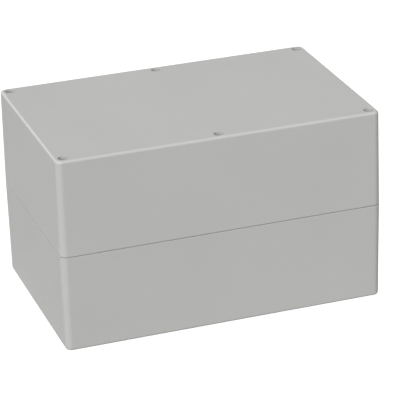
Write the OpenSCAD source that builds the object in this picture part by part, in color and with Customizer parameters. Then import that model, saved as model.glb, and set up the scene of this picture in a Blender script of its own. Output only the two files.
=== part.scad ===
// Plastic project box: a base and a lid of equal height, moulded with drafted walls and round edges.
// Six screws sit in deep wells outside the seal. The sealing wall winds past each of them in an S and
// carries a groove with a one-piece gasket, which a tongue on the lid presses.
// Origin: middle of the underside. X is the length, Y the width, +Z is up, and all sizes are in mm.

/* [Outside] */
// Length of the box along X, at the seam
box_length = 250; // [200:5:360]
// Width of the box along Y, at the seam
box_width = 160; // [120:5:240]
// Height of the base, from its underside to the seam
base_height = 75; // [50:1:120]
// Height of the lid, from the seam to its top
lid_height = 75; // [40:1:120]
// Radius of the upright corners, at the seam
corner_radius = 5.5; // [5:0.5:8]
// Radius of the edges round the top and the underside
edge_radius = 2; // [1:0.25:3]
// Draft of the outer walls in degrees, narrowing away from the seam
draft = 0.5; // [0:0.1:1]
// Bevel on the outer edges of both halves at the seam
seam_bevel = 0.3; // [0.1:0.1:0.6]

/* [Walls] */
// Thickness of the sealing wall, at the seam
sealing_wall = 4; // [3.6:0.1:5]
// Thickness of the outer wall beside the screw pockets, at the seam
pocket_wall = 2.5; // [2:0.1:3.5]
// Thickness of the floor and the roof
floor_thickness = 3.5; // [2.5:0.25:6]

/* [Screw bays] */
// Distance from the outer faces to the axis of a screw
screw_inset = 7.5; // [7:0.1:8.5]
// Diameter of the towers round the screws
tower_diameter = 12; // [11:0.25:13]
// Distance from a screw's axis to the side of its bay, along X
bay_reach = 15; // [12:0.5:20]
// Depth of a bay from the long outer face
bay_depth = 12; // [11.5:0.25:16]
// Radius at which the sealing wall leaves the outer wall, on its outer side
wall_bend = 6; // [5:0.25:7]
// Radius in the corners of a bay
bay_corner = 4; // [2:0.25:5]

/* [Seal] */
// Land between the outside and the groove
groove_land = 1.2; // [1:0.05:1.5]
// Width of the groove
groove_width = 1.8; // [1.5:0.05:2]
// Depth of the groove below the seam
groove_depth = 3; // [2.5:0.1:5]
// Height of the pressed gasket
gasket_height = 2.2; // [1.5:0.1:2.3]
// Play on each side of the gasket in its groove
gasket_play = 0.1; // [0.05:0.05:0.2]
// Play on each side of the lid's tongue in the groove
tongue_play = 0.3; // [0.25:0.05:0.4]

/* [Lid screws] */
// Diameter of the wells in the lid
well_diameter = 7.5; // [7.4:0.1:8]
// Thickness of plastic under a screw head, from the well down to the seam
head_seat = 8; // [4:0.5:16]
// Diameter of the screw head
head_diameter = 7; // [6.5:0.1:7.2]
// Height of the screw head
head_height = 2.8; // [2:0.1:4]
// Thread diameter of the screw
screw_diameter = 4; // [3:0.25:4.5]
// Length of the screw under its head
screw_length = 25; // [18:1:35]
// Play round the screw in the lid and in the base
screw_play = 0.3; // [0.25:0.05:0.5]
// Distance from the tip of the screw to the bottom of its bore
bore_rest = 3; // [1:0.5:6]
// Width of the bevel at the mouth of the bore
bore_bevel = 0.4; // [0.2:0.1:0.8]
// Length of the arms of the cross in the screw head, from tip to tip
cross_length = 4.2; // [3:0.1:5]
// Width of the arms of the cross
cross_width = 1; // [0.6:0.1:1.4]
// Depth of the cross
cross_depth = 1.6; // [1:0.1:1.9]

/* [Fixing] */
// Diameter of the wall fixing holes in the pockets of the base
fixing_hole = 4.8; // [4:0.1:6]
// Distance from the ends of the box to the axes of the board pillars
pillar_end_inset = 25; // [25:1:60]
// Distance from the long sides of the box to the axes of the board pillars
pillar_side_inset = 30; // [25:1:50]
// Diameter of a board pillar
pillar_diameter = 8; // [6:0.5:10]
// Height of a board pillar above the floor
pillar_height = 8; // [4:0.5:16]
// Diameter of the screw hole in a board pillar
pillar_hole = 3.2; // [2.4:0.1:4]
// Depth of the screw hole in a board pillar
pillar_hole_depth = 7; // [3:0.5:7.5]

/* [Hidden] */
$fn = 96;
slope = tan(draft);
half_length = box_length / 2;
half_width = box_width / 2;
screw_x = half_length - screw_inset;
screw_y = half_width - screw_inset;
bay_length = screw_inset + bay_reach;
gasket_outer = groove_land + gasket_play;
gasket_inner = groove_land + groove_width - gasket_play;
tongue_outer = groove_land + tongue_play;
tongue_inner = groove_land + groove_width - tongue_play;
tongue_height = groove_depth - gasket_height;
screw_hole = screw_diameter + 2 * screw_play;
bore_depth = screw_length - head_seat + bore_rest;
fixing_x = half_length - (bay_length + screw_inset + tower_diameter / 2) / 2;
fixing_y = half_width - (bay_depth + pocket_wall) / 2;
over = 1;
plastic = [0.73, 0.73, 0.72];

// Copies the children to both signs of X and Y.
module in_four_corners() {
    for (x = [0, 1], y = [0, 1]) mirror([x, 0, 0]) mirror([0, y, 0]) children();
}

// Places the children on each screw's axis: four in the corners and one halfway along each long side.
module at_screws() {
    for (x = [-screw_x, 0, screw_x], y = [-screw_y, screw_y]) translate([x, y, 0]) children();
}

// A rectangle of the given size round the origin, with round corners.
module round_rectangle(length, width, radius) {
    square([length - 2 * radius, width], center = true);
    square([length, width - 2 * radius], center = true);
    for (x = [-1, 1], y = [-1, 1])
        translate([x * (length / 2 - radius), y * (width / 2 - radius)]) circle(radius);
}

// The filling of a square inner corner at the origin that rounds it, towards +X and +Y.
module inner_round(radius) {
    difference() {
        square(radius);
        translate([radius, radius]) circle(radius);
    }
}

// What the sealing wall encloses, measured a distance in from the wall's outer side. The band in the
// middle clears all the screws, and a lobe reaches the outer wall between each two of them.
module seal_outline(inward) {
    bend = wall_bend - inward;
    foot = bay_corner + inward;
    band = half_width - bay_depth - inward;
    near = bay_reach + inward;
    far = half_length - bay_length - inward;
    round_rectangle(box_length - 2 * inward, 2 * band, bend);
    in_four_corners() {
        translate([(near + far) / 2, 0])
            round_rectangle(far - near, box_width - 2 * inward, bend);
        translate([far, band]) inner_round(foot);
        translate([near, band]) mirror([1, 0]) inner_round(foot);
    }
}

// A closed ring that follows the sealing wall, between two distances in from its outer side.
module seal_ring(outer, inner) {
    difference() {
        seal_outline(outer);
        seal_outline(inner);
    }
}

// Plan of the solid towers. Those in the corners are joined to the end walls by a block.
module towers() {
    at_screws() circle(d = tower_diameter);
    in_four_corners() translate([screw_x, screw_y - bay_depth - wall_bend])
        square([screw_inset, screw_inset + bay_depth + wall_bend]);
}

// Plan of the open pockets beside the towers, between the outer wall and the sealing wall.
module pockets() {
    difference() {
        round_rectangle(box_length - 2 * pocket_wall, box_width - 2 * pocket_wall,
                        corner_radius - pocket_wall);
        seal_outline(0);
        towers();
    }
}

// Half section of an outer wall from the seam up: drafted, bevelled at the seam and round at the top.
// The arc runs from where it touches the drafted face to where it touches the flat top.
module wall_section(reach, height) {
    side = [cos(draft), sin(draft)];
    centre = [reach - (height - edge_radius) * slope - edge_radius / cos(draft), height - edge_radius];
    polygon([
        [0, 0],
        [reach - seam_bevel, 0],
        [reach - seam_bevel * slope, seam_bevel],
        centre + edge_radius * side,
        centre,
        [centre.x, height],
        [0, height]
    ]);
    translate(centre) intersection() {
        circle(edge_radius);
        polygon(2 * edge_radius * [[0, 0], side, [1, 1], [0, 1]]);
    }
}

// One outer wall with all behind it, up to just past the middle of the box, pulled out along X.
module wall_prism(reach, height, length) {
    rotate([90, 0, 90]) linear_extrude(length, center = true) {
        wall_section(reach, height);
        translate([-over, 0]) square([over, height]);
    }
}

// Solid outer form of one half, standing with its seam on Z = 0. The axes of the corners are upright,
// and only their radius follows the draft, so the corners are cones and the edges above them are tori.
module outer_form(height) {
    for (turn = [0, 180]) rotate(turn) {
        wall_prism(half_width, height, box_length - 2 * corner_radius);
        rotate(90) wall_prism(half_length, height, box_width - 2 * corner_radius);
    }
    for (x = [-1, 1], y = [-1, 1])
        translate([x * (half_length - corner_radius), y * (half_width - corner_radius)])
            rotate(atan2(y, x) - 45) rotate_extrude(angle = 90) wall_section(corner_radius, height);
}

// One moulded half with its seam on Z = 0: outer form less the inside and the pockets beside the towers.
module shell(height) {
    difference() {
        outer_form(height);
        translate([0, 0, -over]) linear_extrude(height - floor_thickness + over) {
            seal_outline(sealing_wall);
            pockets();
        }
    }
}

// A pillar for a circuit board, standing on the inside of the floor.
module board_pillar() {
    difference() {
        translate([0, 0, -over]) cylinder(h = pillar_height + over, d = pillar_diameter);
        translate([0, 0, pillar_height - pillar_hole_depth])
            cylinder(h = pillar_hole_depth + over, d = pillar_hole);
    }
}

// Bore for a lid screw in a tower of the base, down from the seam, with a bevelled mouth.
module screw_bore() {
    translate([0, 0, -bore_depth]) cylinder(h = bore_depth + over, d = screw_hole);
    translate([0, 0, -bore_bevel])
        cylinder(h = bore_bevel, d1 = screw_hole, d2 = screw_hole + 2 * bore_bevel);
}

module base() {
    color(plastic) {
        difference() {
            translate([0, 0, base_height]) mirror([0, 0, 1]) shell(base_height);
            translate([0, 0, base_height - groove_depth]) linear_extrude(groove_depth + over)
                seal_ring(groove_land, groove_land + groove_width);
            translate([0, 0, base_height]) at_screws() screw_bore();
            in_four_corners() translate([fixing_x, fixing_y, -over])
                cylinder(h = floor_thickness + 2 * over, d = fixing_hole);
        }
        in_four_corners() translate([half_length - pillar_end_inset, half_width - pillar_side_inset,
                                     floor_thickness]) board_pillar();
    }
}

module gasket() {
    color("#D8D0B8") translate([0, 0, base_height - groove_depth]) linear_extrude(gasket_height)
        seal_ring(gasket_outer, gasket_inner);
}

module lid() {
    color(plastic) {
        difference() {
            translate([0, 0, base_height]) shell(lid_height);
            translate([0, 0, base_height + head_seat]) at_screws()
                cylinder(h = lid_height, d = well_diameter);
            translate([0, 0, base_height - over]) at_screws()
                cylinder(h = head_seat + 2 * over, d = screw_hole);
        }
        translate([0, 0, base_height - tongue_height]) linear_extrude(tongue_height + over)
            seal_ring(tongue_outer, tongue_inner);
    }
}

// One screw with its head's seat on Z = 0: a cheese head with a cross, on a plain shank.
module lid_screw() {
    difference() {
        union() {
            cylinder(h = head_height, d = head_diameter);
            translate([0, 0, -screw_length]) cylinder(h = screw_length + over, d = screw_diameter);
        }
        for (turn = [0, 90]) rotate(turn) translate([0, 0, head_height])
            cube([cross_length, cross_width, 2 * cross_depth], center = true);
    }
}

module lid_screws() {
    color("silver") translate([0, 0, base_height + head_seat]) at_screws() lid_screw();
}

base();
gasket();
lid();
lid_screws();
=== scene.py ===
import math

import bpy
import numpy as np
from mathutils import Matrix, Vector
from mathutils.geometry import delaunay_2d_cdt


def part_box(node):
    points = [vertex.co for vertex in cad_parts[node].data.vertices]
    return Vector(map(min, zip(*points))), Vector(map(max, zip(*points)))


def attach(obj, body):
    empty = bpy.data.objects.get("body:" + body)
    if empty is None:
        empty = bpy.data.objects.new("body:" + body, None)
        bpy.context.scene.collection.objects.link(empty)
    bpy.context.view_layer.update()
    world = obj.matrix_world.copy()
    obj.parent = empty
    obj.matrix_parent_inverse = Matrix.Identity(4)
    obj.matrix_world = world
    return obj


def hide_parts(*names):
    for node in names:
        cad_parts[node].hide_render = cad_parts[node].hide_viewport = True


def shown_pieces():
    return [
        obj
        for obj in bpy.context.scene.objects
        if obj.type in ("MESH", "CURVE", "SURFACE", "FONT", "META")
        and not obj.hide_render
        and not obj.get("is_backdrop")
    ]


bl_info = {
    "name": "Plastic project box",
    "version": (1, 0, 0),
    "blender": (4, 5, 0),
    "location": "View3D > Sidebar > Project Box",
    "description": "Two moulded halves with a gasket and lid screws, and a studio stage",
    "category": "Object",
}

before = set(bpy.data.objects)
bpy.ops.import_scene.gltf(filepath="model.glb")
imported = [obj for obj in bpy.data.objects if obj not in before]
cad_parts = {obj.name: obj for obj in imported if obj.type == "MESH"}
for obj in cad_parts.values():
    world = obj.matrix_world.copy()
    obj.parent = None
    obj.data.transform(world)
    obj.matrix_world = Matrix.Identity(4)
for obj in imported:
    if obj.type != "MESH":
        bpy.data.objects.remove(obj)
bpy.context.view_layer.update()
MM = 0.001
# Vertices nearer to each other than this are one vertex, in metres.
WELD = 1e-6
# The least distance between two corners of a profile that would otherwise meet.
APART = 10 * WELD
# Shifts the cells in which vertices are compared, so that no round size lies on a cell's border.
CELL_SHIFT = 0.137
# Points are rounded to this many decimals of a metre, which is a nanometre.
DECIMALS = 9
# How far the floor lies under the box, so that the two never share a plane.
FLOOR_DROP = 50 * WELD
# Width of the camera's sensor, in millimetres.
SENSOR = 36
# Sockets of a mix node that is set to colours, which shares their names with its other kinds.
MIX_BY, MIX_LOW, MIX_HIGH, MIXED = 0, 6, 7, 2


def linear(hex_colour):
    """The linear red, green and blue of an sRGB colour written as #RRGGBB, by the standard's curve:
    a straight line near black and a power of 2.4 above it."""
    srgb = np.array([int(hex_colour[k : k + 2], 16) for k in (1, 3, 5)]) / 255
    return tuple(np.where(srgb <= 0.04045, srgb / 12.92, ((srgb + 0.055) / 1.055) ** 2.4).tolist())


def length(name, description, default):
    """A length property whose default is given in millimetres."""
    return bpy.props.FloatProperty(
        name=name, description=description, default=default * MM, min=0, unit="LENGTH", precision=4
    )


def angle(name, description, default):
    """An angle property whose default is given in degrees."""
    return bpy.props.FloatProperty(
        name=name, description=description, default=math.radians(default), subtype="ANGLE"
    )


def colour(name, description, default):
    """A colour property whose default is an sRGB hex colour."""
    return bpy.props.FloatVectorProperty(
        name=name, description=description, default=linear(default), subtype="COLOR", min=0, max=1
    )


def light(name, default):
    """A vector towards a far light. Its length is how bright the light makes a white face that
    looks straight at it."""
    return bpy.props.FloatVectorProperty(
        name=name, description="The way to the light, as long as it is bright",
        default=default, subtype="XYZ"
    )


class ShellSizes(bpy.types.PropertyGroup):
    """Sizes of the two moulded halves."""

    length: length("Length", "Length along X, at the seam", 250)
    width: length("Width", "Width along Y, at the seam", 160)
    base_height: length("Base height", "From the underside to the seam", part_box("base")[1][2] / MM)
    lid_height: length(
        "Lid height", "From the seam to the top", (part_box("lid")[1][2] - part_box("base")[1][2]) / MM
    )
    corner_radius: length("Corner radius", "Radius of the upright corners, at the seam", 5.5)
    edge_radius: length("Edge radius", "Radius of the edges round the top and the underside", 2)
    draft: angle("Draft", "Lean of the outer walls, narrowing away from the seam", 0.5)
    base_bevel: length("Base bevel", "Height of the bevel round the top of the base", 0.3)
    base_undercut: length("Base undercut", "How far the base's bevel goes in", 0.12)
    lid_bevel: length("Lid bevel", "Height of the bevel round the foot of the lid", 0.75)
    lid_undercut: length("Lid undercut", "How far the lid's bevel goes in", 0.6)
    gap_height: length("Gap height", "Height of the shadow gap between the lid and the base", 0.2)
    gap_depth: length("Gap depth", "How far the shadow gap goes in from the outside", 0.95)
    sealing_wall: length("Sealing wall", "Thickness of the wall that carries the seal", 4)
    pocket_wall: length("Pocket wall", "Thickness of the outer wall beside the pockets", 2.5)
    floor: length("Floor and roof", "Thickness of the floor and the roof", 3.5)
    inner_round: length("Inner rounds", "Radius where inner walls meet the floor and the roof", 1)
    crisp_round: length("Crisp rounds", "Radius of the small edges that a mould leaves", 0.15)


class BaySizes(bpy.types.PropertyGroup):
    """Sizes of the screw bays and of the pockets in them."""

    screw_inset: length("Screw inset", "From the outer faces to the axis of a screw", 7.5)
    tower_radius: length("Tower radius", "Radius of the towers round the screws", 6)
    reach: length("Bay reach", "From the axis of a screw to the side of its bay, along X", 15)
    depth: length("Bay depth", "Depth of a bay from the long outer face", 12)
    bend: length("Wall bend", "Radius at which the sealing wall leaves the outer wall", 6)
    corner: length("Bay corner", "Radius in the corners of a bay", 4)
    pocket_round: length("Pocket rounds", "Radius in the sharp corners of a pocket", 0.8)
    fixing_radius: length("Fixing hole", "Radius of the wall fixing holes", 2.4)
    pillar_end_inset: length("Pillar end inset", "From the ends of the box to the pillars", 25)
    pillar_side_inset: length("Pillar side inset", "From the long sides to the pillars", 30)
    pillar_radius: length("Pillar radius", "Radius of the board pillars", 4)
    pillar_height: length("Pillar height", "Height of the board pillars above the floor", 8)
    pillar_hole_radius: length("Pillar hole", "Radius of the screw hole in a pillar", 1.6)
    pillar_hole_depth: length("Pillar hole depth", "Depth of the screw hole in a pillar", 7)


class SealSizes(bpy.types.PropertyGroup):
    """Sizes of the groove, the gasket and the tongue."""

    land: length("Land", "From the outside of the sealing wall to the groove", 1.2)
    groove_width: length("Groove width", "Width of the groove", 1.8)
    groove_depth: length("Groove depth", "Depth of the groove below the seam", 3)
    gasket_height: length("Gasket height", "Height of the pressed gasket", 2.2)
    gasket_play: length("Gasket play", "Play on each side of the gasket", 0.1)
    tongue_play: length("Tongue play", "Play on each side of the tongue", 0.3)


class ScrewSizes(bpy.types.PropertyGroup):
    """Sizes of the lid screws, their wells and their bores."""

    well_radius: length("Well radius", "Radius of the wells in the lid", 3.75)
    head_seat: length("Head seat", "Thickness of plastic under a screw head", 8)
    hole_radius: length("Hole radius", "Radius of the hole that a screw passes through", 2.3)
    bore_depth: length("Bore depth", "Depth of the bores in the base", 20)
    bore_bevel: length("Bore bevel", "Width of the bevel at the mouth of a bore", 0.4)
    head_radius: length("Head radius", "Radius of a screw head", 3.5)
    head_height: length("Head height", "Height of a screw head", 2.8)
    thread_radius: length("Thread radius", "Radius over the crests of the thread", 2)
    thread_depth: length("Thread depth", "Height of the thread from its root to its crest", 0.42)
    pitch: length("Pitch", "Distance from one turn of the thread to the next", 0.7)
    screw_length: length("Screw length", "Length of a screw under its head", 25)
    cross_reach: length("Cross reach", "From the middle of the cross to the tip of an arm", 2.1)
    cross_half_width: length("Cross half width", "Half the width of an arm of the cross", 0.5)
    cross_depth: length("Cross depth", "Depth of the cross", 1.6)


class Finishes(bpy.types.PropertyGroup):
    """Colours of the materials."""

    moulded_grey: colour("Moulded plastic", "Light grey of both moulded halves", "#BCBCBA")
    gasket_cream: colour("Gasket", "Cream of the elastomer gasket", "#E2D9BE")
    screw_steel: colour("Screws", "Bare stainless steel", "#C3C0BA")
    floor_white: colour("Studio floor", "Matt white of the floor", "#E4E4E3")


class StageSizes(bpy.types.PropertyGroup):
    """Where the camera stands and how strong the lights are."""

    azimuth: angle("Azimuth", "Turn of the camera round the box, 0 looking along +Y", -18.58)
    elevation: angle("Elevation", "Height of the camera above the horizon", 23.52)
    roll: angle("Roll", "Lean of the camera about its own axis", -1.8)
    camera: bpy.props.FloatVectorProperty(
        name="Camera", description="Where the camera stands", default=(-0.5024, -1.5199, 0.7647),
        subtype="XYZ", unit="LENGTH"
    )
    lens: bpy.props.FloatProperty(
        name="Lens", description="Focal length on a 36 mm sensor", default=205.06, unit="CAMERA"
    )
    floor_reach: length("Floor", "Half the width of the floor", 6000)
    key_light: light("Key light", (-0.3, -0.335, 0.2))
    dome_light: light("Dome light", (-0.205, -0.24, 0.482))
    left_light: light("Left light", (-0.12, 0, -0.03))
    back_light: light("Back light", (-0.048, 0.105, 0.036))
    key_spread: angle("Key spread", "How wide the key light looks from the box", 15)
    dome_spread: angle("Dome spread", "How wide the dome light looks from the box", 150)
    left_spread: angle("Left spread", "How wide the left light looks from the box", 40)
    back_spread: angle("Back spread", "How wide the back light looks from the box", 35)
    air: bpy.props.FloatProperty(
        name="Air", description="Brightness of the light from all round", default=0.3, min=0
    )


class ProjectBox(bpy.types.PropertyGroup):
    """Everything about the box that a user would change."""

    shell: bpy.props.PointerProperty(type=ShellSizes)
    bays: bpy.props.PointerProperty(type=BaySizes)
    seal: bpy.props.PointerProperty(type=SealSizes)
    screws: bpy.props.PointerProperty(type=ScrewSizes)
    finishes: bpy.props.PointerProperty(type=Finishes)
    stage: bpy.props.PointerProperty(type=StageSizes)


# Surfaces. A track is a closed loop in plan with rows x, y, nx, ny, whose normal points out of the
# loop. A profile has rows offset, height and their normal, and its offset runs along the track's
# normal.


def arc(centre, radius, start, stop, steps=10, outward=1):
    """An arc, centre + radius (cos t, sin t), as t runs evenly from start to stop in degrees. Its
    normal is outward (cos t, sin t)."""
    t = np.radians(np.linspace(start, stop, steps + 1))
    ray = np.column_stack((np.cos(t), np.sin(t)))
    return np.hstack((np.asarray(centre) + radius * ray, outward * ray))


def all_round(quarter):
    """A closed loop from its first quarter: the quarter, its mirror image in X run backwards, the
    quarter turned half round, and its mirror image in Y run backwards."""
    mirrored = quarter * (-1, 1, -1, 1)
    return np.vstack((quarter, mirrored[::-1], -quarter, -mirrored[::-1]))


def shifted(track, offset):
    """The track moved along its own normals: p + offset n."""
    return np.hstack((track[:, :2] + offset * track[:, 2:], track[:, 2:]))


def ring(x, y, steps=56):
    """The track of a turned surface: the axis itself, x and y, with the normals (cos t, sin t)."""
    return arc((x, y), 0, 0, 360, steps)[:-1]


def section(corners, rounds, steps=5):
    """A profile through corners (offset, height), with a radius for each inner corner. The arc
    there touches both sides: with a turn of a and a radius r it starts r tan(a / 2) before the
    corner. A radius of 0 keeps the corner sharp. The normal lies to the right of the way the
    profile runs."""
    corners = np.asarray(corners, float)
    run = np.diff(corners, axis=0)
    run /= np.linalg.norm(run, axis=1)[:, None]
    side = np.column_stack((run[:, 1], -run[:, 0]))
    rows = [np.hstack((corners[0], side[0]))]
    for k, radius in enumerate(rounds):
        heading = math.atan2(side[k, 1], side[k, 0])
        across = run[k, 0] * run[k + 1, 1] - run[k, 1] * run[k + 1, 0]
        turn = math.atan2(across, run[k] @ run[k + 1])
        bulge = math.copysign(radius, turn)
        start = corners[k + 1] - run[k] * radius * math.tan(abs(turn) / 2)
        ends = np.degrees((heading, heading + turn))
        bent = arc(start - bulge * side[k], bulge, *ends, steps if radius else 1)
        rows.append(bent)
    rows.append(np.hstack((corners[-1], side[-1])))
    return np.vstack(rows)


def grid(points, normals):
    """The four-sided faces of a surface given on a grid of two parameters."""
    index = np.arange(points.shape[0] * points.shape[1]).reshape(points.shape[:2])
    faces = np.stack((index[:-1, :-1], index[1:, :-1], index[1:, 1:], index[:-1, 1:]), -1)
    return points.reshape(-1, 3), normals.reshape(-1, 3), faces.reshape(-1, 4)


def sweep(track, profile):
    """The profile carried round the closed track: the point (i, j) is p_i + offset_j n_i in plan at
    height_j, and its normal leans along n_i as the profile's normal does."""
    x, y, nx, ny = np.vstack((track, track[:1])).T[:, :, None]
    offset, height, lean, rise = profile.T
    flat = np.ones_like(x)
    points = np.stack((x + nx * offset, y + ny * offset, flat * height), -1)
    normals = np.stack((nx * lean, ny * lean, flat * rise), -1)
    return grid(points, normals)


def cap(loops, height, facing):
    """The flat face at a height between closed loops, facing up (1) or down (-1). It is split into
    triangles with the loops as edges, and a triangle stays where a ray from its middle crosses the
    loops an odd number of times."""
    plan = np.vstack([loop[:, :2] for loop in loops])
    ends = np.cumsum([len(loop) for loop in loops])
    following = np.arange(1, len(plan) + 1)
    following[ends - 1] = np.append(0, ends[:-1])
    edges = np.column_stack((np.arange(len(plan)), following))
    merged = WELD / 1000
    _, _, faces, origin, _, _ = delaunay_2d_cdt(plan.tolist(), edges.tolist(), [], 0, merged)
    faces = np.array([own[0] for own in origin])[np.array(faces)]
    middle = plan[faces].mean(axis=1)[:, None]
    a, b = plan[edges[:, 0]], plan[edges[:, 1]]
    between = (a[:, 1] > middle[..., 1]) != (b[:, 1] > middle[..., 1])
    rise = np.where(a[:, 1] == b[:, 1], 1, b[:, 1] - a[:, 1])
    meets = a[:, 0] + (middle[..., 1] - a[:, 1]) * (b[:, 0] - a[:, 0]) / rise
    inside = (between & (middle[..., 0] < meets)).sum(axis=1) % 2 == 1
    points = np.column_stack((plan, np.full(len(plan), height)))
    return points, np.tile((0.0, 0.0, float(facing)), (len(plan), 1)), faces[inside]


# An empty patch of triangles, for a piece that is all four-sided faces.
NO_TRIANGLES = np.empty((0, 3)), np.empty((0, 3)), np.empty((0, 3), int)


def build(name, patches, material):
    """One closed mesh from patches of points, normals and faces. Points closer than the weld are
    one vertex. Four-sided faces with a closed side become triangles, and every face is turned to
    agree with its normals, which are kept for each corner."""
    starts = np.cumsum([0] + [len(patch[0]) for patch in patches[:-1]])
    points = np.vstack([patch[0] for patch in patches]).round(DECIMALS)
    normals = np.vstack([patch[1] for patch in patches])
    cells = np.round(points / WELD + CELL_SHIFT).astype(np.int64)
    _, first, weld = np.unique(cells, axis=0, return_index=True, return_inverse=True)
    weld = weld.reshape(-1)
    numbered = [patch[2] + start for patch, start in zip(patches, starts)]
    quads = np.vstack([faces for faces in numbered if faces.shape[1] == 4])
    threes = [faces for faces in numbered if faces.shape[1] == 3]
    closed = weld[quads] == weld[np.roll(quads, -1, axis=1)]
    shut = closed.sum(axis=1)
    kept = (closed.argmax(axis=1)[:, None] + (1, 2, 3)) % 4
    halves = np.take_along_axis(quads, kept, axis=1)[shut == 1]
    triangles = np.vstack(threes + [halves])
    triangles = triangles[(weld[triangles] != weld[np.roll(triangles, -1, axis=1)]).all(axis=1)]
    faces, shading = [], []
    for group in (quads[shut == 0], triangles):
        corner = points[group]
        across = np.cross(corner[:, 2] - corner[:, 0], corner[:, -1] - corner[:, 1])
        wrong = (across * normals[group].mean(axis=1)).sum(axis=1) < 0
        group = np.where(wrong[:, None], group[:, ::-1], group)
        faces += weld[group].tolist()
        shading.append(normals[group].reshape(-1, 3))
    mesh = bpy.data.meshes.new(name)
    mesh.from_pydata(points[first].tolist(), [], faces)
    mesh.shade_smooth()
    mesh.normals_split_custom_set(np.vstack(shading).tolist())
    mesh.materials.append(material)
    piece = bpy.data.objects.new(name, mesh)
    bpy.context.scene.collection.objects.link(piece)
    return piece


# Plans that the pieces share.


def outer_track(box):
    """The outline of the box at the seam, a rectangle with round corners."""
    shell = box.shell
    centre = shell.length / 2 - shell.corner_radius, shell.width / 2 - shell.corner_radius
    return all_round(arc(centre, shell.corner_radius, 0, 90, steps=20))


def seal_track(box):
    """The outer side of the sealing wall. From the end wall it bends behind the corner tower, turns
    out to the long wall in an S, and turns back in another S behind the middle tower."""
    shell, bays = box.shell, box.bays
    end, side, bend, corner = shell.length / 2, shell.width / 2, bays.bend, bays.corner
    far, line = end - bays.screw_inset - bays.reach, side - bays.depth
    quarter = np.vstack((
        arc((end - bend, line - bend), bend, 0, 90),
        arc((far + corner, line + corner), corner, 270, 180, outward=-1),
        arc((far - bend, side - bend), bend, 0, 90),
        arc((bays.reach + bend, side - bend), bend, 90, 180),
        arc((bays.reach - corner, line + corner), corner, 0, -90, outward=-1),
    ))
    return all_round(quarter)


def pocket_tracks(box):
    """The open pockets beside the towers: the outer wall, the bend of the sealing wall, the bay's
    side and round corner, its line, and the tower. A small round joins each two that meet at an
    angle: its centre lies at the sum of both radii from the other arc's centre."""
    shell, bays = box.shell, box.bays
    tower, bend, small = bays.tower_radius, bays.bend, bays.pocket_round
    wall, line = shell.width / 2 - shell.pocket_wall, shell.width / 2 - bays.depth
    axis = shell.width / 2 - bays.screw_inset
    turn = np.array((bays.reach + bend, shell.width / 2 - bend))
    high, low = wall - small, line + small
    upper = np.array((math.sqrt((tower + small) ** 2 - (high - axis) ** 2), high))
    lower = np.array((math.sqrt((tower + small) ** 2 - (low - axis) ** 2), low))
    outer = np.array((turn[0] - math.sqrt((bend + small) ** 2 - (high - turn[1]) ** 2), high))
    to_turn = math.degrees(math.atan2(*(turn - outer)[::-1]))
    rise = math.degrees(math.atan2(upper[1] - axis, upper[0]))
    fall = math.degrees(math.atan2(lower[1] - axis, lower[0]))
    one = np.vstack((
        arc((bays.reach - bays.corner, line + bays.corner), bays.corner, 270, 360, steps=8),
        arc(turn, bend, 180, 180 + to_turn, steps=6, outward=-1),
        arc(outer, small, to_turn, 90, steps=5),
        arc(upper, small, 90, 180 + rise, steps=5),
        arc((0, axis), tower, rise, fall, steps=12, outward=-1),
        arc(lower, small, 180 + fall, 270, steps=5),
    ))
    corner = one * (-1, 1, -1, 1) + (shell.length / 2 - bays.screw_inset, 0, 0, 0)
    return [pocket * (x, y, x, y) for pocket in (corner, one) for x in (1, -1) for y in (1, -1)]


def screw_axes(box):
    """Where the screws stand: four in the corners and one halfway along each long side."""
    x = box.shell.length / 2 - box.bays.screw_inset
    y = box.shell.width / 2 - box.bays.screw_inset
    return [(a, b) for a in (-x, 0, x) for b in (-y, y)]


def four_places(x, y):
    """A place and its mirror images in X and Y."""
    return [(a, b) for a in (-x, x) for b in (-y, y)]


def fixing_places(box):
    """Where the wall fixing holes are: in the corner pockets, halfway between the tower and the
    bay's side, and halfway between the outer wall and the bay's line."""
    shell, bays = box.shell, box.bays
    x = shell.length / 2 - (2 * bays.screw_inset + bays.reach + bays.tower_radius) / 2
    return four_places(x, shell.width / 2 - (bays.depth + shell.pocket_wall) / 2)


def edge_end(box, height):
    """How far in from the seam's outline the round edge of a half ends: the lean of the wall over
    its height, and the length that the round takes from the flat, which is its radius times the
    tangent of half the turn."""
    shell = box.shell
    lean = height * math.tan(shell.draft)
    half_turn = math.radians(45) - shell.draft / 2
    return lean + shell.edge_radius * math.tan(half_turn) + APART


def half_outside(box, seam, height, up, foot, rounds):
    """Profile of a half's outer skin from the flat of its floor or roof, round the edge and down
    the drafted wall to its foot at the seam. The wall leans in by the tangent of the draft for each
    metre away from the seam. foot lists the foot's corners, each with the distance in from the
    outside and the distance from the seam, and rounds lists a radius for each but the last. up is 1
    for the lid and -1 for the base."""
    lean = math.tan(box.shell.draft)
    corners = [(-edge_end(box, height), height), (-height * lean, height)]
    corners += [(-inward - rise * lean, rise) for inward, rise in foot]
    rows = np.array(corners) * (1, up) + (0, seam)
    return section(rows[:: -up], [box.shell.edge_radius, *rounds][:: -up], steps=10)


def past_round(box):
    """How far in from the outside of the sealing wall the flat of the floor or the roof begins:
    past the wall and the round at its foot, with half a radius to spare."""
    return box.shell.sealing_wall + 1.5 * box.shell.inner_round


def pocket_round(box):
    """The radius at the floor of a pocket, which is narrower than the inside."""
    return box.shell.inner_round / 2


def pocket_flat(box):
    """How far in from its wall the flat of a pocket begins, past the round at its foot."""
    return 1.4 * pocket_round(box)


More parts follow.
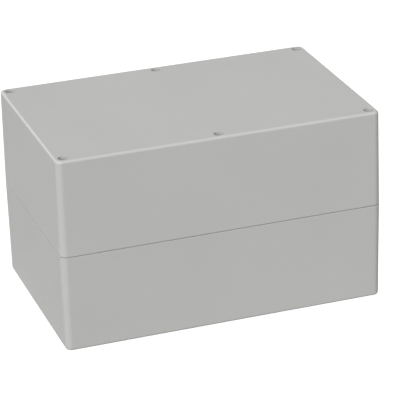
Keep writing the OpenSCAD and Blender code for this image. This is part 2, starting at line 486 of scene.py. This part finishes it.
class PROJECTBOX_OT_base(bpy.types.Operator):
    """Makes the moulded base with its groove, pockets, screw bores and board pillars"""

    bl_idname = "project_box.base"
    bl_label = "Moulded base"

    def execute(self, context):
        box = context.scene.project_box
        shell, bays, seal, screws = box.shell, box.bays, box.seal, box.screws
        seam, floor, crisp = shell.base_height, shell.floor, shell.crisp_round
        # The flat round an edge begins at twice the radius of the edge, and the finest edges are a
        # third or a fifth of it.
        flat, fine, finest = 2 * crisp, crisp / 3, crisp / 5
        outer, wall, pockets = outer_track(box), seal_track(box), pocket_tracks(box)
        groove_in = seal.land + seal.groove_width
        groove_floor = seam - seal.groove_depth
        foot, small = past_round(box), pocket_round(box)
        sealing = section(
            [
                (-seal.land + flat, seam),
                (-seal.land, seam),
                (-seal.land, groove_floor),
                (-groove_in, groove_floor),
                (-groove_in, seam),
                (-shell.sealing_wall, seam),
                (-shell.sealing_wall, floor),
                (-foot, floor),
            ],
            [crisp, crisp, crisp, crisp, crisp, shell.inner_round],
        )
        pocket = section(
            [(flat, seam), (0, seam), (0, floor), (-pocket_flat(box), floor)], [crisp, small]
        )
        mouth = screws.hole_radius + screws.bore_bevel
        bore = section(
            [
                (mouth + flat, seam),
                (mouth, seam),
                (screws.hole_radius, seam - screws.bore_bevel),
                (screws.hole_radius, seam - screws.bore_depth),
                (0, seam - screws.bore_depth),
            ],
            [fine, fine, flat],
        )
        fixing = section(
            [
                (bays.fixing_radius + flat, floor),
                (bays.fixing_radius, floor),
                (bays.fixing_radius, 0),
                (bays.fixing_radius + flat, 0),
            ],
            [crisp, crisp],
        )
        pillar_top = floor + bays.pillar_height
        pillar_bottom = pillar_top - bays.pillar_hole_depth
        pillar_foot = bays.pillar_radius + flat + small
        pillar = section(
            [
                (pillar_foot, floor),
                (bays.pillar_radius, floor),
                (bays.pillar_radius, pillar_top),
                (bays.pillar_hole_radius, pillar_top),
                (bays.pillar_hole_radius, pillar_bottom),
                (0, pillar_bottom),
            ],
            [small, crisp, crisp, crisp],
        )
        pillars = four_places(
            shell.length / 2 - bays.pillar_end_inset, shell.width / 2 - bays.pillar_side_inset
        )
        bevel, inward = shell.base_bevel, shell.base_undercut
        land = inward + crisp
        skin = half_outside(
            box, seam, seam, -1, [(0, bevel), (inward, 0), (land, 0)], [bevel / 3, finest]
        )
        holes, axes = fixing_places(box), screw_axes(box)
        rims = [shifted(ring(*place), bays.fixing_radius + flat) for place in holes]
        patches = [
            sweep(outer, skin),
            sweep(wall, sealing),
            cap([shifted(outer, -edge_end(box, seam))] + rims, 0, -1),
            cap(
                [shifted(outer, -land), shifted(wall, sealing[0, 0])]
                + [shifted(track, pocket[0, 0]) for track in pockets]
                + [shifted(ring(*place), bore[0, 0]) for place in axes],
                seam, 1,
            ),
            cap(
                [shifted(wall, -foot)] + [shifted(ring(*place), pillar_foot) for place in pillars],
                floor, 1,
            ),
            cap([shifted(track, pocket[-1, 0]) for track in pockets] + rims, floor, 1),
        ]
        patches += [sweep(track, pocket) for track in pockets]
        patches += [sweep(ring(*place), bore) for place in axes]
        patches += [sweep(ring(*place), fixing) for place in holes]
        patches += [sweep(ring(*place), pillar) for place in pillars]
        piece = build("moulded_base", patches, moulded_plastic(box))
        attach(piece, "base")
        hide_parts("base")
        return {"FINISHED"}


class PROJECTBOX_OT_gasket(bpy.types.Operator):
    """Makes the one-piece gasket that lies in the groove of the base"""

    bl_idname = "project_box.gasket"
    bl_label = "Sealing gasket"

    def execute(self, context):
        box = context.scene.project_box
        seal = box.seal
        outer = -seal.land - seal.gasket_play
        inner = -seal.land - seal.groove_width + seal.gasket_play
        middle = (outer + inner) / 2
        bottom = box.shell.base_height - seal.groove_depth
        top = bottom + seal.gasket_height
        # The mould rounds the top of the ring nearly to a half circle, and its foot a little.
        crown, foot = (outer - inner) * 0.4, (outer - inner) * 0.15
        profile = section(
            [
                (middle, bottom),
                (outer, bottom),
                (outer, top),
                (inner, top),
                (inner, bottom),
                (middle, bottom),
            ],
            [foot, crown, crown, foot],
        )
        patches = [sweep(seal_track(box), profile), NO_TRIANGLES]
        piece = build("sealing_gasket", patches, elastomer(box))
        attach(piece, "base")
        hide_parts("gasket")
        return {"FINISHED"}


class PROJECTBOX_OT_lid(bpy.types.Operator):
    """Makes the moulded lid with its screw wells, pockets and sealing tongue"""

    bl_idname = "project_box.lid"
    bl_label = "Moulded lid"

    def execute(self, context):
        box = context.scene.project_box
        shell, seal, screws = box.shell, box.seal, box.screws
        seam, crisp = shell.base_height, shell.crisp_round
        # The flat round an edge begins at twice the radius of the edge, and the finest edges are a
        # third or a fifth of it.
        flat, fine, finest = 2 * crisp, crisp / 3, crisp / 5
        top = seam + shell.lid_height
        roof = top - shell.floor
        outer, wall, pockets = outer_track(box), seal_track(box), pocket_tracks(box)
        tongue_out = seal.land + seal.tongue_play
        tongue_in = seal.land + seal.groove_width - seal.tongue_play
        tongue_end = seam - (seal.groove_depth - seal.gasket_height)
        foot = past_round(box)
        sealing = section(
            [
                (-foot, roof),
                (-shell.sealing_wall, roof),
                (-shell.sealing_wall, seam),
                (-tongue_in, seam),
                (-tongue_in, tongue_end),
                (-tongue_out, tongue_end),
                (-tongue_out, seam),
                (-tongue_out + flat, seam),
            ],
            [shell.inner_round, crisp, crisp, crisp, crisp, crisp],
        )
        pocket = section(
            [(-pocket_flat(box), roof), (0, roof), (0, seam), (flat, seam)],
            [pocket_round(box), crisp],
        )
        # The round at the mouth of a well takes up nearly all of the width that is left for it.
        mouth = crisp / 2
        mouth_round = mouth * 0.99
        seat = seam + screws.head_seat
        well = section(
            [
                (screws.well_radius + mouth, top),
                (screws.well_radius, top),
                (screws.well_radius, seat),
                (screws.hole_radius, seat),
                (screws.hole_radius, seam),
                (screws.hole_radius + flat, seam),
            ],
            [mouth_round, crisp, crisp, crisp],
        )
        gap, deep = shell.gap_height, shell.gap_depth
        land = deep + crisp / 2
        skin = half_outside(
            box, seam, shell.lid_height, 1,
            [
                (0, gap + shell.lid_bevel),
                (shell.lid_undercut, gap),
                (deep, gap),
                (deep, 0),
                (land, 0),
            ],
            [crisp, finest, fine, finest],
        )
        axes = screw_axes(box)
        patches = [
            sweep(outer, skin),
            sweep(wall, sealing),
            cap(
                [shifted(outer, -edge_end(box, shell.lid_height))]
                + [shifted(ring(*place), well[0, 0]) for place in axes],
                top, 1,
            ),
            cap(
                [shifted(outer, -land), shifted(wall, sealing[-1, 0])]
                + [shifted(track, pocket[-1, 0]) for track in pockets]
                + [shifted(ring(*place), well[-1, 0]) for place in axes],
                seam, -1,
            ),
            cap([shifted(wall, -foot)], roof, -1),
            cap([shifted(track, pocket[0, 0]) for track in pockets], roof, -1),
        ]
        patches += [sweep(track, pocket) for track in pockets]
        patches += [sweep(ring(*place), well) for place in axes]
        piece = build("moulded_lid", patches, moulded_plastic(box))
        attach(piece, "lid")
        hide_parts("lid")
        return {"FINISHED"}


def helix(place, top, bottom, crest, root, pitch, steps=24, rows=6):
    """A screw thread. The row j climbs one pitch in a turn, with its height at bottom + pitch
    (j / rows + t / 2 pi - 1). Over the rows of one pitch its radius rises from root to crest, stays
    there and falls again, a third of the pitch each, and it fades to root over one pitch at both
    ends. The normals come from the slopes of the grid, and point away from the axis where its rows
    meet."""
    turns = math.ceil((top - bottom) / pitch) + 1
    j = np.arange(turns * rows + 1)[None]
    t = np.linspace(0, 2 * math.pi, steps + 1)[:, None]
    height = np.clip(bottom + pitch * (j / rows + t / (2 * math.pi) - 1), bottom, top)
    tooth = np.clip(1.5 - 3 * np.abs((j % rows) / rows - 0.5), 0, 1)
    fade = np.clip(np.minimum(height - bottom, top - height) / pitch, 0, 1)
    radius = root + (crest - root) * tooth * fade
    points = np.stack((place[0] + radius * np.cos(t), place[1] + radius * np.sin(t), height), -1)
    across, along = np.gradient(points, axis=0), np.gradient(points, axis=1)
    normals = np.cross(across, along)
    size = np.linalg.norm(normals, axis=-1, keepdims=True)
    outward = np.stack((np.cos(t) + 0 * j, np.sin(t) + 0 * j, 0 * t + 0 * j), -1)
    nothing = 1e-14
    normals = np.where(size > nothing, normals / np.maximum(size, nothing), outward)
    return grid(points, normals)


class PROJECTBOX_OT_screws(bpy.types.Operator):
    """Makes the lid screws: cheese heads with a cross, and threaded shanks"""

    bl_idname = "project_box.screws"
    bl_label = "Lid screws"

    def execute(self, context):
        box = context.scene.project_box
        screws, crisp = box.screws, box.shell.crisp_round
        seat = box.shell.base_height + screws.head_seat
        top, tip = seat + screws.head_height, seat - screws.screw_length
        root = screws.thread_radius - screws.thread_depth
        neck, point = seat - screws.pitch, tip + screws.pitch
        rim = screws.head_radius - 3 * crisp
        head = section(
            [
                (root, neck),
                (root, seat),
                (screws.head_radius, seat),
                (screws.head_radius, top),
                (rim, top),
            ],
            [crisp / 2, crisp, 2 * crisp],
        )
        blunt = 0.7 * root
        end = section([(0, tip), (blunt, tip), (root, point)], [crisp])
        reach, half, small = screws.cross_reach, screws.cross_half_width, 0.35 * MM
        arms = all_round(np.vstack((
            arc((reach - small, half - small), small, 0, 90, steps=4),
            arc((half + small, half + small), small, 270, 180, steps=4, outward=-1),
            arc((half - small, reach - small), small, 0, 90, steps=4),
        )))
        bottom = top - screws.cross_depth
        cross = section(
            [(crisp, top), (0, top), (-crisp / 2, bottom), (-2 * crisp, bottom)], [crisp / 2, crisp]
        )
        patches = []
        for place in screw_axes(box):
            axis = ring(*place, steps=24)
            slot = arms + (*place, 0, 0)
            patches += [
                sweep(axis, head),
                sweep(axis, end),
                helix(place, neck, point, screws.thread_radius, root, screws.pitch),
                sweep(slot, cross),
                cap([shifted(axis, rim), shifted(slot, crisp)], top, 1),
                cap([shifted(slot, -2 * crisp)], bottom, 1),
            ]
        piece = build("lid_screw_set", patches, tumbled_steel(box))
        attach(piece, "lid")
        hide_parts("lid_screws")
        return {"FINISHED"}


# Materials.


def add(tree, kind, settings=(), links=()):
    """Adds a node of a kind to a tree, sets its properties and the values of its inputs, and links
    outputs of other nodes to its inputs. Inputs go by name or by number."""
    made = tree.nodes.new(kind)
    for name, value in dict(settings).items():
        if isinstance(name, str) and hasattr(made, name):
            setattr(made, name, value)
        else:
            made.inputs[name].default_value = value
    for name, source in dict(links).items():
        tree.links.new(source, made.inputs[name])
    return made


def every(size):
    """The scale that makes a texture's pattern about so many millimetres wide."""
    return 1 / (size * MM)


def new_material(name):
    """An empty node material and its tree."""
    material = bpy.data.materials.new(name)
    material.use_nodes = True
    material.node_tree.nodes.clear()
    return material, material.node_tree


def moulded_plastic(box):
    """Light grey ABS, injection moulded in a lightly spark-textured mould."""
    name = "light_grey_moulded_abs"
    if name in bpy.data.materials:
        return bpy.data.materials[name]
    material, tree = new_material(name)
    place = add(tree, "ShaderNodeTexCoord").outputs["Object"]
    # The melt carries its pigment in clouds about 70 mm long, so the grey shifts by a few per cent.
    flow = add(
        tree, "ShaderNodeTexNoise", {"Scale": every(70), "Detail": 3.0, "Roughness": 0.45},
        {"Vector": place},
    )
    grey = np.array(box.finishes.moulded_grey)
    tint = add(
        tree, "ShaderNodeMix",
        {"data_type": "RGBA", MIX_LOW: (*(grey * 0.965), 1), MIX_HIGH: (*(grey * 1.02), 1)},
        {MIX_BY: flow.outputs["Fac"]},
    )
    # The spark-eroded mould leaves an even grain, which softens the sheen. The real grain is
    # 0.05 mm wide, too fine to show, so it is drawn 0.4 mm wide.
    grain = add(
        tree, "ShaderNodeTexNoise", {"Scale": every(0.4), "Detail": 2.0, "Roughness": 0.6},
        {"Vector": place},
    )
    # Shrinkage leaves shallow waves about 24 mm long, which bend the highlights a little.
    sink = add(tree, "ShaderNodeTexNoise", {"Scale": every(24), "Detail": 1.0}, {"Vector": place})
    texture = add(
        tree, "ShaderNodeBump", {"Strength": 0.1, "Distance": 0.04 * MM},
        {"Height": grain.outputs["Fac"]},
    )
    waves = add(
        tree, "ShaderNodeBump", {"Strength": 0.12, "Distance": 0.4 * MM},
        {"Height": sink.outputs["Fac"], "Normal": texture.outputs["Normal"]},
    )
    # Where the pigment is denser the skin is a little duller, so the sheen breaks up.
    satin = add(
        tree, "ShaderNodeMapRange", {"To Min": 0.36, "To Max": 0.46}, {"Value": flow.outputs["Fac"]}
    )
    shader = add(
        tree, "ShaderNodeBsdfPrincipled", {"IOR": 1.54, "Metallic": 0.0},
        {
            "Base Color": tint.outputs[MIXED],
            "Roughness": satin.outputs["Result"],
            "Normal": waves.outputs["Normal"],
        },
    )
    add(tree, "ShaderNodeOutputMaterial", {}, {"Surface": shader.outputs["BSDF"]})
    return material


def elastomer(box):
    """Cream thermoplastic elastomer, moulded and matt, with a powdery bloom."""
    material, tree = new_material("cream_moulded_elastomer")
    place = add(tree, "ShaderNodeTexCoord").outputs["Object"]
    # A powdery bloom lies in patches 5 mm long, which makes the cream lighter and duller there.
    bloom = add(
        tree, "ShaderNodeTexNoise", {"Scale": every(5), "Detail": 4.0, "Roughness": 0.6},
        {"Vector": place},
    )
    cream = np.array(box.finishes.gasket_cream)
    tint = add(
        tree, "ShaderNodeMix",
        {
            "data_type": "RGBA",
            MIX_LOW: (*(cream * 0.9), 1),
            MIX_HIGH: (*np.minimum(cream * 1.06, 1), 1),
        },
        {MIX_BY: bloom.outputs["Fac"]},
    )
    # The skin of the ring is matt, with pores 0.12 mm wide.
    skin = add(tree, "ShaderNodeTexNoise", {"Scale": every(0.12), "Detail": 2.0}, {"Vector": place})
    bump = add(
        tree, "ShaderNodeBump", {"Strength": 0.25, "Distance": 0.03 * MM},
        {"Height": skin.outputs["Fac"]},
    )
    dull = add(
        tree, "ShaderNodeMapRange", {"To Min": 0.68, "To Max": 0.85},
        {"Value": bloom.outputs["Fac"]},
    )
    shader = add(
        tree, "ShaderNodeBsdfPrincipled", {"IOR": 1.5, "Metallic": 0.0},
        {
            "Base Color": tint.outputs[MIXED],
            "Roughness": dull.outputs["Result"],
            "Normal": bump.outputs["Normal"],
        },
    )
    add(tree, "ShaderNodeOutputMaterial", {}, {"Surface": shader.outputs["BSDF"]})
    return material


def tumbled_steel(box):
    """Stainless steel, cold headed, thread rolled and tumbled bright."""
    material, tree = new_material("tumbled_stainless_steel")
    place = add(tree, "ShaderNodeTexCoord").outputs["Object"]
    # Tumbling leaves dents 0.7 mm wide, and a sheen that changes from place to place. The same pattern
    # also paints shade into the dents.
    dents_and_painted_shade = add(
        tree, "ShaderNodeTexNoise", {"Scale": every(0.7), "Detail": 3.0, "Roughness": 0.6},
        {"Vector": place},
    )
    steel = np.array(box.finishes.screw_steel)
    # Painted shade: the steel is coloured darker where the dents go down and lighter where they rise,
    # following the bump's heights.
    tint = add(
        tree, "ShaderNodeMix",
        {
            "data_type": "RGBA",
            MIX_LOW: (*(steel * 0.82), 1),
            MIX_HIGH: (*np.minimum(steel * 1.08, 1), 1),
        },
        {MIX_BY: dents_and_painted_shade.outputs["Fac"]},
    )
    bump = add(
        tree, "ShaderNodeBump", {"Strength": 0.2, "Distance": 0.03 * MM},
        {"Height": dents_and_painted_shade.outputs["Fac"]},
    )
    sheen = add(
        tree, "ShaderNodeMapRange", {"To Min": 0.2, "To Max": 0.38}, {"Value": dents_and_painted_shade.outputs["Fac"]}
    )
    shader = add(
        tree, "ShaderNodeBsdfPrincipled", {"Metallic": 1.0},
        {
            "Base Color": tint.outputs[MIXED],
            "Roughness": sheen.outputs["Result"],
            "Normal": bump.outputs["Normal"],
        },
    )
    add(tree, "ShaderNodeOutputMaterial", {}, {"Surface": shader.outputs["BSDF"]})
    return material


def studio_white(box):
    """Matt white studio paper. It glows as if lit from behind, so that it stays white all round."""
    material, tree = new_material("matt_white_paper")
    place = add(tree, "ShaderNodeTexCoord").outputs["Object"]
    # The fibres of the paper are felted in flocks 1 mm wide.
    fibre = add(tree, "ShaderNodeTexNoise", {"Scale": every(1), "Detail": 2.0}, {"Vector": place})
    white = (*box.finishes.floor_white, 1)
    bump = add(
        tree, "ShaderNodeBump", {"Strength": 0.05, "Distance": 0.1 * MM},
        {"Height": fibre.outputs["Fac"]},
    )
    shader = add(
        tree, "ShaderNodeBsdfPrincipled",
        {
            "Base Color": white,
            "Roughness": 0.9,
            "IOR": 1.45,
            "Emission Color": (1, 1, 1, 1),
            "Emission Strength": 1.0,
        },
        {"Normal": bump.outputs["Normal"]},
    )
    add(tree, "ShaderNodeOutputMaterial", {}, {"Surface": shader.outputs["BSDF"]})
    return material


class PROJECTBOX_OT_stage(bpy.types.Operator):
    """Makes the floor, the lights and the camera"""

    bl_idname = "project_box.stage"
    bl_label = "Studio stage"

    def execute(self, context):
        scene = context.scene
        box = scene.project_box
        stage = box.stage
        reach = stage.floor_reach
        corner = np.array(((-1, -1), (1, -1), (1, 1), (-1, 1)))
        paper = bpy.data.meshes.new("studio_floor")
        plane = np.column_stack((corner * reach, np.full(4, -FLOOR_DROP)))
        paper.from_pydata(plane.tolist(), [], [(0, 1, 2, 3)])
        paper.materials.append(studio_white(box))
        floor = bpy.data.objects.new("studio_floor", paper)
        scene.collection.objects.link(floor)
        floor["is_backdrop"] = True
        # The lamps light the box alone, and only its pieces cast their shadows. The floor's glow
        # lights nothing of the box.
        pieces = bpy.data.collections.new("box_pieces")
        unlit = bpy.data.collections.new("dark_to_the_floor")
        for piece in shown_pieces():
            pieces.objects.link(piece)
            unlit.objects.link(piece)
        for member in unlit.collection_objects:
            member.light_linking.link_state = "EXCLUDE"
        floor.light_linking.receiver_collection = unlit
        # A sun of strength pi makes a white face that looks straight at it as bright as 1.
        for name in ("key", "dome", "left", "back"):
            towards = Vector(getattr(stage, name + "_light"))
            lamp = bpy.data.lights.new(name + "_light", "SUN")
            lamp.angle, lamp.energy = getattr(stage, name + "_spread"), math.pi * towards.length
            far = bpy.data.objects.new(name + "_light", lamp)
            far.rotation_euler = towards.to_track_quat("Z", "Y").to_euler()
            far.light_linking.receiver_collection = pieces
            far.light_linking.blocker_collection = pieces
            scene.collection.objects.link(far)
        world = bpy.data.worlds.new("studio_air")
        world.use_nodes = True
        world.node_tree.nodes["Background"].inputs["Color"].default_value = (1, 1, 1, 1)
        world.node_tree.nodes["Background"].inputs["Strength"].default_value = stage.air
        scene.world = world
        scene.view_settings.view_transform = "Standard"
        lens = bpy.data.cameras.new("studio_camera")
        lens.sensor_width, lens.lens = SENSOR, stage.lens
        camera = bpy.data.objects.new("studio_camera", lens)
        camera.matrix_world = (
            Matrix.Translation(stage.camera)
            @ Matrix.Rotation(stage.azimuth, 4, "Z")
            @ Matrix.Rotation(math.radians(90) - stage.elevation, 4, "X")
            @ Matrix.Rotation(stage.roll, 4, "Z")
        )
        scene.collection.objects.link(camera)
        scene.camera = camera
        return {"FINISHED"}


MAKERS = (
    PROJECTBOX_OT_base,
    PROJECTBOX_OT_gasket,
    PROJECTBOX_OT_lid,
    PROJECTBOX_OT_screws,
    PROJECTBOX_OT_stage,
)


class VIEW3D_PT_project_box(bpy.types.Panel):
    """Lists what makes each piece, above the sizes and colours"""

    bl_label = "Project Box"
    bl_idname = "VIEW3D_PT_project_box"
    bl_space_type = "VIEW_3D"
    bl_region_type = "UI"
    bl_category = "Project Box"

    def draw(self, context):
        for maker in MAKERS:
            self.layout.operator(maker.bl_idname)
        box = context.scene.project_box
        for group in (box.shell, box.bays, box.seal, box.screws, box.finishes, box.stage):
            column = self.layout.column(heading=group.bl_rna.description)
            for name in type(group).__annotations__:
                column.prop(group, name)


CLASSES = (
    ShellSizes,
    BaySizes,
    SealSizes,
    ScrewSizes,
    Finishes,
    StageSizes,
    ProjectBox,
    *MAKERS,
    VIEW3D_PT_project_box,
)


def register():
    """Registers the classes and gives the scene its settings of the box."""
    for each in CLASSES:
        bpy.utils.register_class(each)
    bpy.types.Scene.project_box = bpy.props.PointerProperty(type=ProjectBox)


def unregister():
    """Takes the settings and the classes away again."""
    del bpy.types.Scene.project_box
    for each in reversed(CLASSES):
        bpy.utils.unregister_class(each)


def main():
    """Makes every piece and the stage."""
    register()
    bpy.ops.project_box.base()
    bpy.ops.project_box.gasket()
    bpy.ops.project_box.lid()
    bpy.ops.project_box.screws()
    bpy.ops.project_box.stage()


if __name__ == "__main__":
    main()
